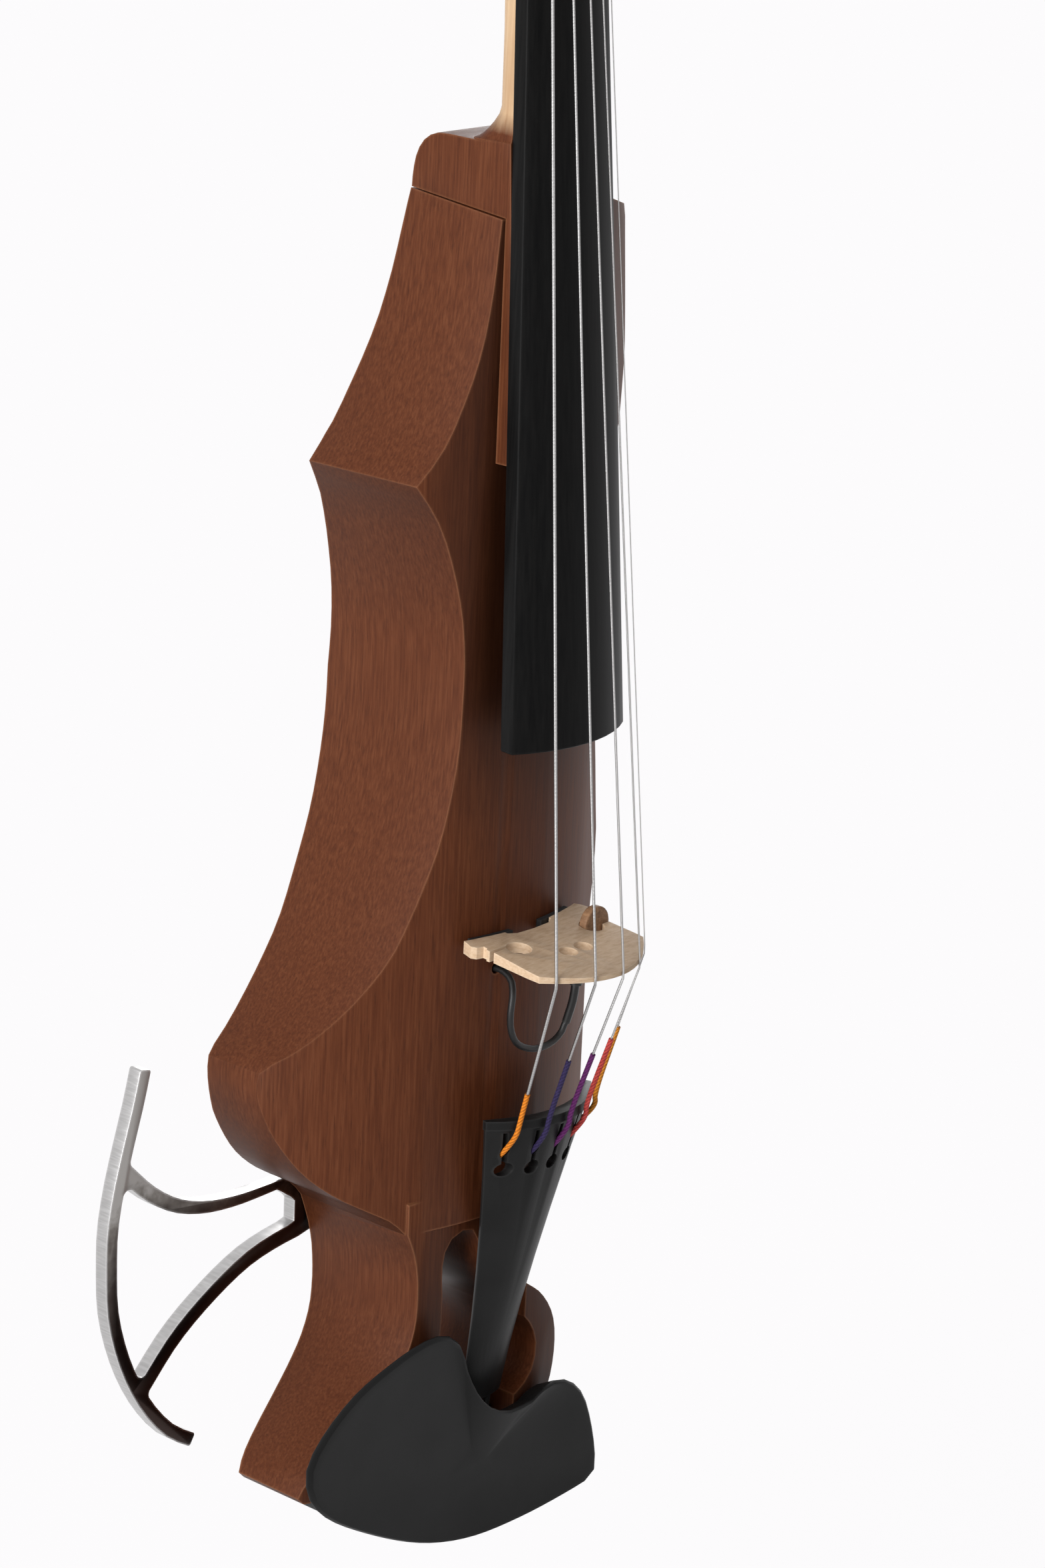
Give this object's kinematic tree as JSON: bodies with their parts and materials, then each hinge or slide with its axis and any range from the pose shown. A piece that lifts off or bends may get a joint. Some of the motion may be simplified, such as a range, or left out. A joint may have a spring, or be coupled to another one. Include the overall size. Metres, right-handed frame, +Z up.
{
  "type": "electric violin",
  "caption": "Solid-body bowed string instrument with a fretless neck, pickup bridge, tailpiece, clamped chin rest, steel support bracket, inner electronics, knobs and battery door.",
  "frame": {"origin": "on the flat back face, behind the bridge and on the strings' centre line", "axes": "+Z up along the neck towards the scroll, +Y out of the back, -Y out of the belly on the string side, +X towards the highest string"},
  "size_m": [0.1566, 0.0874, 0.6153],
  "materials": {
    "stained_maple": "brown stain under a satin clear coat",
    "natural_maple": "light wood, satin",
    "ebony": "black hardwood, satin",
    "bridge_maple": "bare light wood",
    "pickup_wood": "brown hardwood",
    "sensor_rubber": "matte",
    "black_lead": "matte cable jacket",
    "black_plastic": "matte black",
    "gut_black": "matte cord",
    "black_metal": "black satin paint",
    "chrome": "polished",
    "cork": "cork, matte",
    "brushed_steel": "brushed",
    "board_green": "solder-masked board",
    "battery_shell": "printed steel case, left plain",
    "string_steel": "wound steel",
    "silk_orange": "twisted thread",
    "silk_navy": "twisted thread",
    "silk_purple": "twisted thread",
    "silk_red": "twisted thread",
    "silk_amber": "twisted thread"
  },
  "bodies": {
    "frame": {"body": "stained_maple", "neck": "natural_maple", "fingerboard": "ebony", "nut": "ebony", "bridge": "bridge_maple", "bridge_pickup": "pickup_wood", "sensor_pad_bass": "sensor_rubber", "sensor_pad_treble": "sensor_rubber", "pickup_sleeve": "black_lead", "pickup_lead": "black_lead", "tailpiece": "black_plastic", "tailgut": "gut_black", "saddle": "ebony", "end_pin": "ebony", "chin_rest": "black_plastic", "clamp_front": "black_metal", "clamp_cork_end": "cork", "side_bracket": "brushed_steel", "bracket_screw_outer": "chrome", "bracket_screw_inner": "chrome", "electronics_cover": "black_plastic", "cover_screw_1": "chrome", "cover_screw_2": "chrome", "cover_screw_3": "chrome", "cover_screw_4": "chrome", "preamp_board": "board_green", "battery": "battery_shell", "battery_snap": "black_plastic", "battery_lead": "black_lead", "battery_door_pin": "chrome", "control_plate": "black_plastic", "volume_pot": "chrome", "tone_pot": "chrome", "output_jack": "chrome", "jack_nut": "chrome", "jack_lead": "black_lead", "string_c": "string_steel", "silk_c": "silk_orange", "string_g": "string_steel", "silk_g": "silk_navy", "string_d": "string_steel", "silk_d": "silk_purple", "string_a": "string_steel", "silk_a": "silk_red", "string_e": "string_steel", "silk_e": "silk_amber"},
    "peg_c": {"peg_c": "ebony"},
    "peg_g": {"peg_g": "ebony"},
    "peg_d": {"peg_d": "ebony"},
    "peg_a": {"peg_a": "ebony"},
    "peg_e": {"peg_e": "ebony"},
    "volume_knob": {"volume_knob": "black_plastic"},
    "tone_knob": {"tone_knob": "black_plastic"},
    "battery_door": {"battery_door": "black_plastic"},
    "clamp_foot": {"clamp_foot": "black_metal", "clamp_cork_back": "cork"},
    "clamp_barrel_bass": {"clamp_barrel_bass": "chrome"},
    "clamp_barrel_treble": {"clamp_barrel_treble": "chrome"}
  },
  "joints": [
    {"name": "peg_c_turn", "type": "hinge", "parent": "frame", "child": "peg_c", "pos_m": [0, -0.0343, 0.35904], "axis": [1, 0, 0], "continuous": true},
    {"name": "peg_g_turn", "type": "hinge", "parent": "frame", "child": "peg_g", "pos_m": [0, -0.0291, 0.3876], "axis": [1, 0, 0], "continuous": true},
    {"name": "peg_d_turn", "type": "hinge", "parent": "frame", "child": "peg_d", "pos_m": [0, -0.0259, 0.40188], "axis": [-1, 0, 0], "continuous": true},
    {"name": "peg_a_turn", "type": "hinge", "parent": "frame", "child": "peg_a", "pos_m": [0, -0.0319, 0.37332], "axis": [-1, 0, 0], "continuous": true},
    {"name": "peg_e_turn", "type": "hinge", "parent": "frame", "child": "peg_e", "pos_m": [0, -0.0363, 0.34476], "axis": [-1, 0, 0], "continuous": true},
    {"name": "volume_turn", "type": "hinge", "parent": "frame", "child": "volume_knob", "pos_m": [0.048, -0.0103, -0.019], "axis": [1, 0, 0], "range_deg": [-150, 150]},
    {"name": "tone_turn", "type": "hinge", "parent": "frame", "child": "tone_knob", "pos_m": [0.048, -0.0103, -0.035], "axis": [1, 0, 0], "range_deg": [-150, 150]},
    {"name": "battery_door_swing", "type": "hinge", "parent": "frame", "child": "battery_door", "pos_m": [0, -0.0021, 0.064], "axis": [1, 0, 0], "range_deg": [0, 90]},
    {"name": "clamp_foot_slide", "type": "slide", "parent": "frame", "child": "clamp_foot", "axis": [0, 1, 0], "range_m": [0, 0.003]},
    {"name": "clamp_barrel_bass_turn", "type": "hinge", "parent": "frame", "child": "clamp_barrel_bass", "pos_m": [-0.0455, -0.0273, -0.1545], "axis": [0, 1, 0], "range_deg": [0, 1080]},
    {"name": "clamp_barrel_treble_turn", "type": "hinge", "parent": "frame", "child": "clamp_barrel_treble", "pos_m": [-0.0315, -0.0273, -0.1545], "axis": [0, 1, 0], "range_deg": [0, 1080]}
  ],
  "couplings": [
    {"joint": "clamp_barrel_bass_turn", "follows": "clamp_foot_slide", "rad_per_m": 6283.2},
    {"joint": "clamp_barrel_treble_turn", "follows": "clamp_foot_slide", "rad_per_m": 6283.2}
  ]
}
